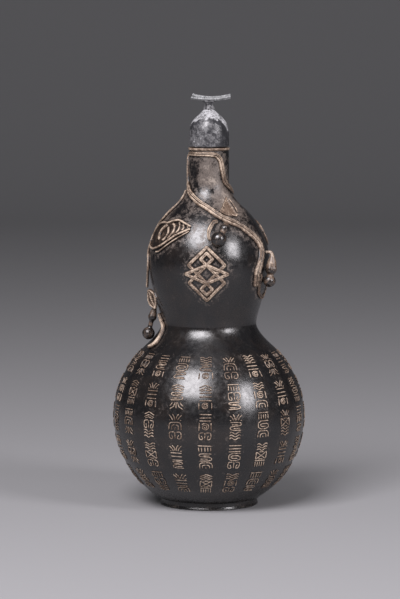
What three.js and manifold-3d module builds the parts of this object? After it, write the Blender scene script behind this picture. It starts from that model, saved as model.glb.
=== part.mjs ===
// A cast bronze bottle in the shape of a double gourd, with a lift-off lid.
// The vessel is two bulbs lapped at the waist, on a foot ring closed by a base plate.
// Relief vines, leaves, small hanging gourds and two fret emblems are soldered on.
// Millimetres, +Z up, origin at the middle of the foot's underside, front facing -Y.
import * as THREE from "three";
import { mergeVertices } from "three/addons/utils/BufferGeometryUtils.js";
import Module from "manifold-3d";

const wasm = await Module();
wasm.setup();

// Driving dimensions of the vessel
const FIT_GAP = 0.3; // between pieces that touch
const WALL = 2.6; // casting thickness
const FOOT_RADIUS = 28;
const FOOT_HEIGHT = 3.9;
const FOOT_WALL = 2.6;
const FOOT_BEAD = 0.5; // how far the foot's lower edge spreads
const FOOT_BEAD_HEIGHT = 0.8;
const FOOT_OVERHANG = 1.3; // the bulb stands out this far over the foot
const BASE_PLATE_THICKNESS = 1.7;
const LOWER_RADIUS = 55.3;
const WAIST_RADIUS = 27.3;
const WAIST_FILLET = 9; // how much narrower the waist is than the end of the bulb's arc
const WAIST_RISE = 12.8; // from the end of the bulb's arc up to the waist
const UPPER_RADIUS = 34.8;
const UPPER_RISE = 36; // from the waist up to the upper bulb's widest ring
const SHOULDER_RADIUS = 20; // where the shoulder turns into the neck's fillet
const SHOULDER_RISE = 31.3; // from the widest ring up to that turn
const SHOULDER_SLOPE = 38; // degrees from level at that turn
const NECK_RADIUS = 11.5;
const NECK_FILLET = 15.1; // height of the fillet between shoulder and neck
const NECK_LENGTH = 19.4; // from the fillet to the mouth
const NECK_WALL = 2.5;
const LIP_RADIUS = 11.95;
const LIP_HEIGHT = 1.7;
const LIP_BEVEL = 0.4;
const SLEEVE_REACH = 6; // of the waist sleeve above and below the seam
const SLEEVE_WALL = 1.5;

// Driving dimensions of the lid
const PLUG_CLEARANCE = 0.4;
const PLUG_DEPTH = 13;
const PLUG_WALL = 1.7;
const PLUG_BEVEL = 0.5;
const PLUG_SOCKET = 6.5; // how far the plug reaches up into the dome
const DOME_RADIUS = 11.5;
const DOME_HEIGHT = 21.7;
const DOME_SKIRT = 6; // straight part of the dome's side
const DOME_CONE_RADIUS = 9; // where the side turns into the pointed top
const DOME_CONE_HEIGHT = 6.1;
const DOME_CROWN = 3.4; // thickness under the stalk
const STALK_RADIUS = 2.6;
const STALK_HEIGHT = 4.4;
const STALK_FLARE = 1.0;
const RIVET_RADIUS = 1.3;
const BAR_LENGTH = 22.6;
const BAR_HEIGHT = 2.6;
const BAR_DEPTH = 3.6;
const BAR_SAG = 1.3;
const BAR_SHIFT = 1.2; // the bar sits this far to the right of the axis
const BAR_LEFT_SWELL = 0.42; // the left end is thicker by this share, cut at a slant
const BAR_RIGHT_SWELL = 0.12;

// Driving dimensions of the relief
const VINE_START_WIDTH = 2.2;
const VINE_END_WIDTH = 4.8;
const VINE_HEIGHT = 1.3;
const TENDRIL_WIDTH = 2.4;
const TENDRIL_HEIGHT = 1.0;
const LEFT_VINE_RISE = 2.6; // its lower end stands this high off the skin
const CORD_WIDTH = 2.7; // the rounded cord that crosses the waist
const CORD_HEIGHT = 2.0;
const LEAF_HEIGHT = 1.0;
const FRONT_LEAF_WIDTH = 11;
const SCROLL_LEAF_WIDTH = 12.5;
const LEFT_LEAF_WIDTH = 7.5;
const LEFT_LEAF_LEAN = 4.4; // its far edge stands this high off the skin
const STEM_RADIUS = 0.75;
const FRONT_BELLY = 4.5; // radii of the small gourds' bellies and heads
const FRONT_HEAD = 2.8;
const FRONT_CONE = 3.1; // from the middle of the head up to the stem
const RIGHT_BELLY = 3.3;
const RIGHT_HEAD = 3;
const RIGHT_CONE = 8;
const LEFT_BELLY = 3.7;
const LEFT_HEAD = 2.5;
const LEFT_CONE = 5.6;
const LEFT_CLEARANCE = 3.9; // from the skin to the middle of the left gourd's belly
const EMBLEM_SIZE = 30.5; // height between the middles of its end strokes
const EMBLEM_STROKE = 2.1;
const EMBLEM_HEIGHT = 0.9;
const EMBLEM_DROP = 4.6; // its middle lies this far under the widest ring

// Counts and lengths of facets
const BODY_SEGMENTS = 32;
const LID_SEGMENTS = 28;
const STALK_SEGMENTS = 16;
const GOURD_SIDES = 10;
const BAR_SIDES = 10;
const SKIN_STEP = 4.8; // along the outline
const BAND_STEP = 2.7; // along a vine
const TENDRIL_STEP = 2.2;
const LEAF_STEPS = 10;

const degrees = THREE.MathUtils.degToRad;

// The chain of levels, from the foot up
const seatRadius = FOOT_RADIUS + FOOT_OVERHANG;
const arcEndRadius = WAIST_RADIUS + WAIST_FILLET;
const lowerHeight = FOOT_HEIGHT + FIT_GAP + Math.sqrt(LOWER_RADIUS ** 2 - seatRadius ** 2);
const arcEndHeight = lowerHeight + Math.sqrt(LOWER_RADIUS ** 2 - arcEndRadius ** 2);
const waistHeight = arcEndHeight + WAIST_RISE;
const upperHeight = waistHeight + UPPER_RISE;
const shoulderHeight = upperHeight + SHOULDER_RISE;
const neckStart = shoulderHeight + NECK_FILLET;
const mouthHeight = neckStart + NECK_LENGTH;
const lipBottom = mouthHeight - LIP_HEIGHT;
const neckTop = lipBottom - FIT_GAP;

// The outer outline in radius and height, from the foot's seat to the underside of the lip
function outlinePath() {
  const path = new THREE.Path();
  const seat = Math.acos(seatRadius / LOWER_RADIUS);
  const top = Math.acos(arcEndRadius / LOWER_RADIUS);
  path.absarc(0, lowerHeight, LOWER_RADIUS, -seat, top, false);
  path.bezierCurveTo(
    arcEndRadius - 0.6 * WAIST_FILLET, arcEndHeight + 0.6 * WAIST_FILLET / Math.tan(top),
    WAIST_RADIUS, waistHeight - 0.25 * WAIST_RISE,
    WAIST_RADIUS, waistHeight);
  path.bezierCurveTo(
    WAIST_RADIUS, waistHeight + 0.19 * UPPER_RISE,
    UPPER_RADIUS, upperHeight - 0.43 * UPPER_RISE,
    UPPER_RADIUS, upperHeight);
  const slope = Math.tan(degrees(SHOULDER_SLOPE));
  const crownRun = 0.37 * (UPPER_RADIUS - SHOULDER_RADIUS);
  path.bezierCurveTo(
    UPPER_RADIUS, upperHeight + 0.45 * SHOULDER_RISE,
    SHOULDER_RADIUS + crownRun, shoulderHeight - slope * crownRun,
    SHOULDER_RADIUS, shoulderHeight);
  const narrowing = SHOULDER_RADIUS - NECK_RADIUS;
  const corner = shoulderHeight + slope * narrowing;
  path.bezierCurveTo(
    SHOULDER_RADIUS - 0.62 * narrowing, shoulderHeight + 0.62 * slope * narrowing,
    NECK_RADIUS, corner + 0.4 * (neckStart - corner),
    NECK_RADIUS, neckStart);
  path.lineTo(NECK_RADIUS, neckTop);
  return path;
}

const outlineCurve = outlinePath();
const outline = outlineCurve.getPoints(64);

// Linear reading of a rising list of (radius, height) points
function radiusAt(points, height) {
  for (let i = 1; i < points.length; i++) {
    const [low, high] = [points[i - 1], points[i]];
    if (height <= high.y) {
      const share = (height - low.y) / (high.y - low.y || 1);
      return low.x + (high.x - low.x) * Math.max(0, share);
    }
  }
  return points[points.length - 1].x;
}

const bodyRadius = (height) => radiusAt(outline, height);

// A point on the body's skin, lifted along its normal. Azimuth 0 is the front.
function skinNormal(azimuth, height) {
  const step = 0.4;
  const slope = (bodyRadius(height + step) - bodyRadius(height - step)) / (2 * step);
  return new THREE.Vector3(Math.sin(azimuth), -Math.cos(azimuth), -slope).normalize();
}

function skinPoint(azimuth, height, lift = 0) {
  const radius = bodyRadius(height);
  return new THREE.Vector3(radius * Math.sin(azimuth), -radius * Math.cos(azimuth), height)
    .addScaledVector(skinNormal(azimuth, height), lift);
}

const azimuthOf = (point) => Math.atan2(point.x, -point.y);

// Ornament is placed by azimuth in degrees and station. Whole stations are the body's levels:
// 0 the lower bulb's widest ring, 1 the waist, 2 the upper bulb's widest ring, 3 the shoulder,
// 4 the start of the neck, 5 the underside of the lip.
const levels = [lowerHeight, waistHeight, upperHeight, shoulderHeight, neckStart, neckTop];

function heightAt(station) {
  const below = Math.min(Math.floor(station), levels.length - 2);
  return levels[below] + (levels[below + 1] - levels[below]) * (station - below);
}

const placeOnSkin = ([azimuth, station], lift = 0) =>
  skinPoint(degrees(azimuth), heightAt(station), lift);

// The same places on the other side
const halfTurn = (places) => places.map(([azimuth, station]) => [azimuth + 180, station]);

// Solids of revolution about +Z, from a profile that closes on itself or ends on the axis
function revolve(profile, segments) {
  let area = 0;
  profile.forEach(([x, y], i) => {
    const [nextX, nextY] = profile[(i + 1) % profile.length];
    area += x * nextY - nextX * y;
  });
  const onAxis = profile[0][0] === 0 && profile[profile.length - 1][0] === 0;
  const ordered = area > 0 ? [...profile] : [...profile].reverse();
  if (!onAxis) ordered.push(ordered[0]);
  return new THREE.LatheGeometry(ordered.map(([x, y]) => new THREE.Vector2(x, y)), segments)
    .rotateX(Math.PI / 2);
}

// A tube about +Z between two radii and two levels
const tube = (inner, outer, low, high) =>
  revolve([[inner, low], [outer, low], [outer, high], [inner, high]], BODY_SEGMENTS);

// The outline moved inwards by a distance, as points of rising height
const insetOutline = (distance) => outline.map(({ y }) => {
  const inner = skinPoint(Math.PI / 2, y, -distance);
  return new THREE.Vector2(inner.x, inner.z);
}).filter((point, i, points) => i === 0 || point.y > points[i - 1].y + 0.01);

// Heights at even steps along the outline, between two limits and at both of them
function heightsBetween(low, high, step) {
  const margin = 0.4 * step;
  const steps = Math.round(outlineCurve.getLength() / step);
  const between = outlineCurve.getSpacedPoints(steps).map((point) => point.y)
    .filter((height) => height > low + margin && height < high - margin);
  return [low, ...between, high];
}

// A bulb's wall between two levels, cut level at both ends, as a closed profile.
// Its inside follows the outline at the wall's thickness, but is never narrower than the bore.
function wallProfile(low, high, bore) {
  const inner = insetOutline(WALL);
  const outerSide = heightsBetween(low, high, SKIN_STEP)
    .map((height) => [bodyRadius(height), height]);
  const innerSide = heightsBetween(low, high, 2 * SKIN_STEP)
    .map((height) => [Math.max(bore, radiusAt(inner, height)), height]);
  return [...outerSide, ...innerSide.reverse()];
}

function material(color, roughness, metalness) {
  return new THREE.MeshStandardMaterial({ color, roughness, metalness });
}

const darkBronze = material(0x2a2523, 0.38, 0.6);
const wornBronze = material(0x55504c, 0.4, 0.7);
const tanPatina = material(0x8a7358, 0.6, 0.3);
const lidBronze = material(0x4b4a50, 0.45, 0.6);
const paleMetal = material(0x8f9090, 0.55, 0.5);

const bottle = new THREE.Group();

function add(name, geometry, finish) {
  const mesh = new THREE.Mesh(geometry, finish);
  mesh.name = name;
  bottle.add(mesh);
}

// manifold-3d solids, for joining strokes
function toSolid(geometry) {
  const merged = mergeVertices(geometry, 1e-4);
  return new wasm.Manifold(new wasm.Mesh({
    numProp: 3,
    vertProperties: merged.attributes.position.array,
    triVerts: new Uint32Array(merged.index.array),
  }));
}

function toGeometry(solid) {
  const mesh = solid.getMesh();
  const geometry = new THREE.BufferGeometry();
  geometry.setAttribute("position", new THREE.BufferAttribute(mesh.vertProperties, 3));
  geometry.setIndex(new THREE.BufferAttribute(mesh.triVerts, 1));
  return geometry;
}

// A closed skin from rings of equal size, with flat fans at the ends unless they meet
function loft(rings, endless = false) {
  const sides = rings[0].length;
  const positions = rings.flat().flatMap((p) => [p.x, p.y, p.z]);
  const index = [];
  for (let i = 0; i + 1 < rings.length; i++) {
    for (let j = 0; j < sides; j++) {
      const [a, b] = [i * sides + j, i * sides + ((j + 1) % sides)];
      index.push(a, b, b + sides, a, b + sides, a + sides);
    }
  }
  const last = (rings.length - 1) * sides;
  for (let j = 1; !endless && j + 1 < sides; j++) {
    index.push(0, j + 1, j, last, last + j, last + j + 1);
  }
  const geometry = new THREE.BufferGeometry();
  geometry.setAttribute("position", new THREE.Float32BufferAttribute(positions, 3));
  geometry.setIndex(index);
  return geometry;
}

// A smooth line over the skin, and at a share of it the middle and the direction across
function lineOnSkin(places) {
  const curve = new THREE.CatmullRomCurve3(
    places.map((place) => placeOnSkin(place)), false, "centripetal");
  return {
    length: curve.getLength(),
    frameAt(share) {
      const centre = curve.getPointAt(share);
      const ahead = curve.getPointAt(Math.min(1, share + 0.01));
      const behind = curve.getPointAt(Math.max(0, share - 0.01));
      const normal = skinNormal(azimuthOf(centre), centre.z);
      return { centre, across: ahead.sub(behind).cross(normal).normalize() };
    },
  };
}

// A point beside a line's middle, put back on the skin and lifted off it
function beside({ centre, across }, distance, lift) {
  const foot = centre.clone().addScaledVector(across, distance);
  return skinPoint(azimuthOf(foot), foot.z, FIT_GAP + lift);
}

// Cross sections of a band: across in shares of its width, rise in shares of its height
const RIDGED = [[-0.5, 0], [-0.4, 0.9], [-0.2, 1], [0, 0.55], [0.2, 1], [0.4, 0.9], [0.5, 0]];
const ROUNDED = [[-0.5, 0], [-0.46, 0.5], [-0.22, 1], [0.22, 1], [0.46, 0.5], [0.5, 0]];

// A raised band along a line over the skin, narrowed and lowered at both ends. The last
// quarter of it may rise off the skin. Its underside is flat across, so the edges are lifted
// until the middle clears the body's curve.
function bandOnSkin(places, section, [startWidth, endWidth], height, step, endRise = 0) {
  const line = lineOnSkin(places);
  const steps = Math.round(line.length / step);
  const rings = [];
  for (let i = 0; i <= steps; i++) {
    const share = i / steps;
    const end = Math.min(1, Math.min(i, steps - i) / 3);
    const size = 0.35 + 0.65 * end;
    const width = (startWidth + (endWidth - startWidth) * share) * size;
    const frame = line.frameAt(share);
    const dip = (width / 2) ** 2 / (2 * bodyRadius(frame.centre.z));
    const base = dip + endRise * Math.max(0, 4 * share - 3) ** 2;
    rings.push(section.map(
      ([side, rise]) => beside(frame, side * width, base + rise * height * size)));
  }
  return loft(rings);
}

// A leaf along a line over the skin, with raised edges and midrib. Its widest place moves
// towards the stem as widest falls. Lean lifts it off the skin, so that it slopes up sideways.
function leafOnSkin(places, width, widest, lean = 0) {
  const line = lineOnSkin(places);
  const sides = [-1, -0.8, -0.45, -0.1, 0, 0.1, 0.45, 0.8, 1];
  const relief = [0.45, 1, 0.4, 0.5, 0.9, 0.5, 0.4, 1, 0.45];
  const underside = [0.8, 0, -0.8];
  const rings = [];
  for (let i = 0; i <= LEAF_STEPS; i++) {
    const share = i / LEAF_STEPS;
    const frame = line.frameAt(share);
    const half = Math.max(0.12, Math.sin(Math.PI * share ** widest)) * width / 2;
    const place = (side, lift) => {
      const leaning = lean * (1 + side * half / (width / 2)) / 2;
      return beside(frame, side * half, lift + leaning);
    };
    rings.push([
      ...sides.map((side, k) => place(side, relief[k] * LEAF_HEIGHT)),
      ...underside.map((side) => place(side, 0)),
    ]);
  }
  return loft(rings);
}

// The vessel: bulbs, sleeve, foot and mouth
function buildVessel() {
  const seam = FIT_GAP / 2;
  const lower = wallProfile(FOOT_HEIGHT + FIT_GAP, waistHeight - seam, 0);
  add("lower_bulb", revolve(lower, BODY_SEGMENTS), darkBronze);
  const bore = NECK_RADIUS - NECK_WALL;
  const upper = wallProfile(waistHeight + seam, neckTop, bore);
  add("upper_bulb", revolve(upper, BODY_SEGMENTS), darkBronze);
  const sleeveRadius = WAIST_RADIUS - WALL - FIT_GAP;
  add("waist_sleeve", tube(sleeveRadius - SLEEVE_WALL, sleeveRadius,
    waistHeight - SLEEVE_REACH, waistHeight + SLEEVE_REACH), wornBronze);
  const footInner = FOOT_RADIUS - FOOT_WALL;
  add("foot_ring", revolve([
    [footInner, 0],
    [FOOT_RADIUS + FOOT_BEAD, 0],
    [FOOT_RADIUS + FOOT_BEAD, FOOT_BEAD_HEIGHT],
    [FOOT_RADIUS, 2 * FOOT_BEAD_HEIGHT],
    [FOOT_RADIUS, FOOT_HEIGHT],
    [footInner, FOOT_HEIGHT],
  ], BODY_SEGMENTS), darkBronze);
  const plateRadius = footInner - FIT_GAP;
  add("base_plate", revolve([
    [0, FOOT_HEIGHT - BASE_PLATE_THICKNESS],
    [plateRadius, FOOT_HEIGHT - BASE_PLATE_THICKNESS],
    [plateRadius, FOOT_HEIGHT],
    [0, FOOT_HEIGHT],
  ], BODY_SEGMENTS), wornBronze);
  add("mouth_ring", revolve([
    [bore, lipBottom],
    [NECK_RADIUS, lipBottom],
    [LIP_RADIUS, lipBottom + LIP_BEVEL],
    [LIP_RADIUS, mouthHeight - LIP_BEVEL],
    [LIP_RADIUS - LIP_BEVEL, mouthHeight],
    [bore, mouthHeight],
  ], BODY_SEGMENTS), tanPatina);
}

// The front vine starts under the lip on the far left, comes down the neck's left side,
// crosses the shoulder and hangs down on the right
const vineCrossing = [
  [-14.5, 3.19], [-4.5, 3.09], [5.1, 2.98], [13, 2.91], [20.1, 2.85], [28.3, 2.79],
  [37.5, 2.73], [45.2, 2.65], [51.8, 2.56], [57.4, 2.48], [61.9, 2.39], [64, 2.28],
  [62.8, 2.18], [59.8, 2.05], [56.5, 1.94], [54.6, 1.86], [54.3, 1.75], [55.2, 1.64],
];
const vineFront = [
  [-150, 4.88], [-125, 4.87], [-106, 4.82], [-96, 4.68], [-91, 4.44], [-88, 4.15], [-81, 3.93],
  [-69, 3.79], [-55.8, 3.61], [-41.5, 3.47], [-27.4, 3.33], ...vineCrossing,
];

// The back vine starts under the lip at the front, falls down the neck's right side, and
// crosses the shoulder behind as the front vine does before
const vineBack = [
  [-72, 4.92], [-48, 4.92], [-26, 4.92], [-8.5, 4.92], [7.4, 4.91], [20.9, 4.88], [29.4, 4.81],
  [36, 4.7], [41, 4.49], [44.5, 4.3], [49, 4.1], [59, 3.9], [78.5, 3.73], [92, 3.64], [110, 3.54],
  [130, 3.43], [147, 3.32], ...halfTurn(vineCrossing),
];

// The left vine branches off at the neck and runs down the left side, round the scroll leaf
const vineLeft = [
  [-86, 3.64], [-80, 3.44], [-76, 3.17], [-76, 2.95], [-81, 2.8], [-90, 2.68], [-96, 2.52],
  [-95, 2.34], [-88, 2.2], [-81, 2.07], [-79, 1.91], [-81, 1.74], [-84, 1.6],
];
const tendrilFront = [
  [13.5, 2.79], [8.5, 2.78], [4.5, 2.71], [2, 2.62], [1.7, 2.53], [3.2, 2.45],
];
const tendrilRight = [
  [62.7, 1.83], [61.7, 1.72], [61.3, 1.61], [64, 1.52], [71, 1.46], [79, 1.44], [86, 1.49],
  [88.5, 1.6],
];
const waistCord = [
  [-80, 1.17], [-75.5, 1.08], [-69.3, 1], [-64.7, 0.95], [-63, 0.895], [-61.6, 0.84], [-62, 0.79],
  [-66.5, 0.75],
];

function buildVines() {
  const addVine = (name, places, endWidth, endRise) => {
    const widths = [VINE_START_WIDTH, endWidth];
    add(name, bandOnSkin(places, RIDGED, widths, VINE_HEIGHT, BAND_STEP, endRise), tanPatina);
  };
  addVine("vine_front", vineFront, VINE_END_WIDTH);
  addVine("vine_back", vineBack, VINE_END_WIDTH);
  addVine("vine_left", vineLeft, VINE_START_WIDTH, LEFT_VINE_RISE);
  const addTendril = (name, places) => add(name,
    bandOnSkin(places, RIDGED, [TENDRIL_WIDTH, TENDRIL_WIDTH], TENDRIL_HEIGHT, TENDRIL_STEP),
    tanPatina);
  addTendril("tendril_front", tendrilFront);
  addTendril("tendril_back", halfTurn(tendrilFront));
  addTendril("tendril_right", tendrilRight);
  add("tendril_left",
    bandOnSkin(waistCord, ROUNDED, [CORD_WIDTH, CORD_WIDTH], CORD_HEIGHT, TENDRIL_STEP),
    tanPatina);
}

function buildLeaves() {
  const ivy = [[29.8, 2.88], [35, 3.01], [44.2, 3.43]];
  const scroll = [[-76, 2.28], [-69, 2.39], [-55.8, 2.51], [-39.7, 2.6], [-18.6, 2.68]];
  const side = [[-84, 1.56], [-79, 1.45], [-71, 1.28]];
  add("leaf_front", leafOnSkin(ivy, FRONT_LEAF_WIDTH, 0.5), tanPatina);
  add("leaf_back", leafOnSkin(halfTurn(ivy), FRONT_LEAF_WIDTH, 0.5), tanPatina);
  add("scroll_leaf_left", leafOnSkin(scroll, SCROLL_LEAF_WIDTH, 0.8), tanPatina);
  add("scroll_leaf_right", leafOnSkin(halfTurn(scroll), SCROLL_LEAF_WIDTH, 0.8), tanPatina);
  add("leaf_left", leafOnSkin(side, LEFT_LEAF_WIDTH, 0.7, LEFT_LEAF_LEAN), tanPatina);
}

// Radii of a small double gourd and its stem, by distance from the underside of its belly
function gourdProfile(belly, head, cone, spacing, length) {
  const headMiddle = belly + spacing;
  const neck = belly + spacing * belly / (belly + head);
  const coneTop = headMiddle + cone;
  const ball = (middle, radius, angles) => angles.map((angle) =>
    [middle + radius * Math.sin(degrees(angle)), radius * Math.cos(degrees(angle))]);
  return [
    [0, 0.12 * belly],
    ...ball(belly, belly, [-50, -20, 10, 40]),
    [neck, 0.55 * head],
    ...ball(headMiddle, head, [-30, 5]),
    [headMiddle + 0.5 * cone, 0.72 * head],
    [coneTop, 1.5 * STEM_RADIUS],
    ...[0.35, 0.7, 1].map((share) => [coneTop + (length - coneTop) * share, STEM_RADIUS]),
  ];
}

// A gourd between the middles of its belly and head, whose stem ends on the skin at a place
function addGourd(name, [belly, head, cone], bellyMiddle, headMiddle, root) {
  const spacing = headMiddle.distanceTo(bellyMiddle);
  const along = headMiddle.clone().sub(bellyMiddle).normalize();
  const spine = new THREE.CatmullRomCurve3([
    bellyMiddle.clone().addScaledVector(along, -belly),
    bellyMiddle,
    headMiddle.clone().addScaledVector(along, cone),
    placeOnSkin(root, FIT_GAP + STEM_RADIUS),
  ], false, "centripetal");
  const length = spine.getLength();
  const rings = gourdProfile(belly, head, cone, spacing, length).map(([distance, radius]) => {
    const share = Math.min(1, distance / length);
    const centre = spine.getPointAt(share);
    const ahead = spine.getTangentAt(share);
    const side = skinNormal(azimuthOf(centre), centre.z).cross(ahead).normalize();
    const front = side.clone().cross(ahead);
    return Array.from({ length: GOURD_SIDES }, (_, k) => {
      const angle = (2 * Math.PI * k) / GOURD_SIDES;
      return centre.clone().addScaledVector(side, radius * Math.cos(angle))
        .addScaledVector(front, -radius * Math.sin(angle));
    });
  });
  add(name, loft(rings), wornBronze);
}

// Places of the belly, the head and the stem's root. Resting gourds touch the skin with both.
function buildGourds() {
  const resting = (name, sizes, [belly, head, root]) => addGourd(name, sizes,
    placeOnSkin(belly, sizes[0] + FIT_GAP), placeOnSkin(head, sizes[1] + FIT_GAP), root);
  const front = [[10.9, 2.44], [18.2, 2.63], [21.8, 2.75]];
  const frontSizes = [FRONT_BELLY, FRONT_HEAD, FRONT_CONE];
  resting("gourd_front", frontSizes, front);
  resting("gourd_back", frontSizes, halfTurn(front));
  const right = [[70.2, 1.73], [70.5, 1.91], [71, 2.2]];
  resting("gourd_right", [RIGHT_BELLY, RIGHT_HEAD, RIGHT_CONE], right);
  addGourd("gourd_left", [LEFT_BELLY, LEFT_HEAD, LEFT_CONE],
    placeOnSkin([-86, 0.84], LEFT_CLEARANCE), placeOnSkin([-86, 1.13], LEFT_CLEARANCE + 1),
    [-97, 1.36]);
}

// The emblem is a knot of linked lozenges. Each entry is a lozenge's middle, right of and above
// the emblem's middle, then its half width and half height, in shares of the emblem's size.
const emblemLozenges = [
  [0, 0.167, 0.34, 0.333],
  [0, -0.167, 0.34, 0.333],
  [0, 0, 0.4, 0.17],
  [0, 0.28, 0.11, 0.11],
  [0, -0.28, 0.11, 0.11],
];

// A closed line of lozenge shape, laid on the skin
function lozengeOnSkin(shares, azimuth) {
  const [middleU, middleV, halfWidth, halfHeight] = shares.map((share) => share * EMBLEM_SIZE);
  const corners = [[1, 0], [0, 1], [-1, 0], [0, -1]];
  const pieces = Math.max(1, Math.round(halfWidth / 4));
  const mitre = EMBLEM_STROKE / 2 * Math.hypot(1 / halfWidth, 1 / halfHeight);
  const section = [[-1, 0], [-0.7, 1], [0.7, 1], [1, 0]];
  const rings = [];
  corners.forEach((corner, i) => {
    const next = corners[(i + 1) % 4];
    for (let k = 0; k < pieces; k++) {
      const share = k / pieces;
      const unitU = corner[0] + (next[0] - corner[0]) * share;
      const unitV = corner[1] + (next[1] - corner[1]) * share;
      rings.push(section.map(([across, rise]) => {
        const u = middleU + unitU * halfWidth * (1 + across * mitre);
        const v = middleV + unitV * halfHeight * (1 + across * mitre);
        return skinPoint(azimuth + u / UPPER_RADIUS, upperHeight - EMBLEM_DROP + v,
          FIT_GAP + rise * EMBLEM_HEIGHT);
      }));
    }
  });
  return loft([...rings, rings[0]], true);
}

function buildEmblem(name, azimuth) {
  const lines = emblemLozenges.map((lozenge) => toSolid(lozengeOnSkin(lozenge, degrees(azimuth))));
  add(name, toGeometry(lines.reduce((whole, line) => whole.add(line))), tanPatina);
}

// The lid: a plug that slips into the neck, a pointed dome, and a stalk that carries a cross bar
function buildLid() {
  const seat = mouthHeight + FIT_GAP;
  const plugRadius = NECK_RADIUS - NECK_WALL - PLUG_CLEARANCE;
  const plugBottom = mouthHeight - PLUG_DEPTH;
  const plugTop = seat + PLUG_SOCKET;
  add("lid_plug", revolve([
    [plugRadius - PLUG_WALL, plugBottom],
    [plugRadius - PLUG_BEVEL, plugBottom],
    [plugRadius, plugBottom + 2 * PLUG_BEVEL],
    [plugRadius, plugTop],
    [plugRadius - PLUG_WALL, plugTop],
  ], LID_SEGMENTS), wornBronze);
  const socket = plugRadius + FIT_GAP;
  const apex = seat + DOME_HEIGHT;
  const coneBottom = apex - DOME_CONE_HEIGHT;
  const hole = RIVET_RADIUS + FIT_GAP;
  const crown = new THREE.Path();
  crown.moveTo(DOME_RADIUS, seat + 1);
  crown.lineTo(DOME_RADIUS, seat + DOME_SKIRT);
  crown.bezierCurveTo(DOME_RADIUS, seat + DOME_SKIRT + 4, DOME_CONE_RADIUS + 1.6, coneBottom - 1.7,
    DOME_CONE_RADIUS, coneBottom);
  crown.quadraticCurveTo(STALK_RADIUS + 2.4, apex - 1.6, STALK_RADIUS + 0.4, apex);
  const ceiling = new THREE.Path();
  const liningRadius = socket - 2 * FIT_GAP;
  ceiling.moveTo(hole, apex - DOME_CROWN);
  ceiling.bezierCurveTo(DOME_RADIUS / 2, apex - DOME_CROWN - 2.2,
    liningRadius, coneBottom - 2, liningRadius, plugTop + FIT_GAP);
  const pairs = (path) => path.getPoints(5).map((point) => [point.x, point.y]);
  add("lid_dome", revolve([
    [DOME_RADIUS - 0.5, seat],
    ...pairs(crown),
    [hole, apex],
    ...pairs(ceiling),
    [socket, plugTop + FIT_GAP],
    [socket, seat],
  ], LID_SEGMENTS), lidBronze);
  const stalkFoot = apex + FIT_GAP;
  const stalkTop = stalkFoot + STALK_HEIGHT;
  const rivetBottom = apex - DOME_CROWN - 1;
  add("lid_stalk", revolve([
    [0, rivetBottom],
    [RIVET_RADIUS, rivetBottom],
    [RIVET_RADIUS, stalkFoot],
    [STALK_RADIUS + 0.6, stalkFoot],
    [STALK_RADIUS, stalkFoot + 0.4 * STALK_HEIGHT],
    [STALK_RADIUS + 0.2, stalkFoot + 0.7 * STALK_HEIGHT],
    [STALK_RADIUS + STALK_FLARE, stalkTop],
    [0, stalkTop],
  ], STALK_SEGMENTS), lidBronze);
  buildBar(stalkTop + FIT_GAP);
}

// The cross bar is a sagging length of vine, flat where it sits on the stalk
function buildBar(seat) {
  const rings = [];
  const steps = 14;
  for (let i = 0; i <= steps; i++) {
    const share = (2 * i) / steps - 1;
    const sag = BAR_SAG * share * share;
    const swell = 1 + (share < 0 ? BAR_LEFT_SWELL : BAR_RIGHT_SWELL) * share ** 4;
    const slant = 0.45 * Math.max(0, -share) ** 6;
    rings.push(Array.from({ length: BAR_SIDES }, (_, k) => {
      const angle = (2 * Math.PI * k) / BAR_SIDES;
      const rise = (BAR_HEIGHT / 2) * swell * Math.sin(angle);
      const x = BAR_SHIFT + (share * BAR_LENGTH) / 2 + slant * rise;
      const y = (BAR_DEPTH / 2) * (0.7 + 0.3 * swell) * Math.cos(angle);
      return new THREE.Vector3(x, y, Math.max(seat, seat + BAR_HEIGHT / 2 + sag + rise));
    }));
  }
  add("lid_bar", loft(rings), paleMetal);
}

buildVessel();
buildVines();
buildLeaves();
buildGourds();
buildEmblem("emblem_front", 0);
buildEmblem("emblem_back", 180);
buildLid();

export default bottle;
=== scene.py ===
"""Looks of the gourd-shaped bronze bottle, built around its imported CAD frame.

Lengths are in millimetres, but for those of the floor and the lamps. The front faces -Y. A place
on the vessel is an azimuth, 0 at the front and growing towards +X, and a height or a distance
along the outline. Ornament is placed by azimuth in degrees and station: whole stations are the
lower bulb's widest ring, the waist, the upper bulb's widest ring, the shoulder, the start of the
neck and the underside of the lip.
"""

import math
import random

import bpy
import numpy as np
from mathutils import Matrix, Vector, kdtree


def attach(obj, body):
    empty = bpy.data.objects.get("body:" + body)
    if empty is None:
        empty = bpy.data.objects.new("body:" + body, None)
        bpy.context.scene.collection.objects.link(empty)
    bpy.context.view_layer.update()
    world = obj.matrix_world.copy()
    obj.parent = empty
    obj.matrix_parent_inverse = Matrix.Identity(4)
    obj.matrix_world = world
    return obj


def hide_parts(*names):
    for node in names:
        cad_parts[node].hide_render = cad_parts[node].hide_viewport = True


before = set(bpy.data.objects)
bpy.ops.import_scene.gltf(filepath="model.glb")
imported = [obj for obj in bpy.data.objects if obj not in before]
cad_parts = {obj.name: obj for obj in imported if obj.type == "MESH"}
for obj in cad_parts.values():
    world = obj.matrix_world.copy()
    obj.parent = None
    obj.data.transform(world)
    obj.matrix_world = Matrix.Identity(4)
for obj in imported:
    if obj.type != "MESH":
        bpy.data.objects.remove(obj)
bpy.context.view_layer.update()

MM = 0.001
SEED = 7

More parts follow.
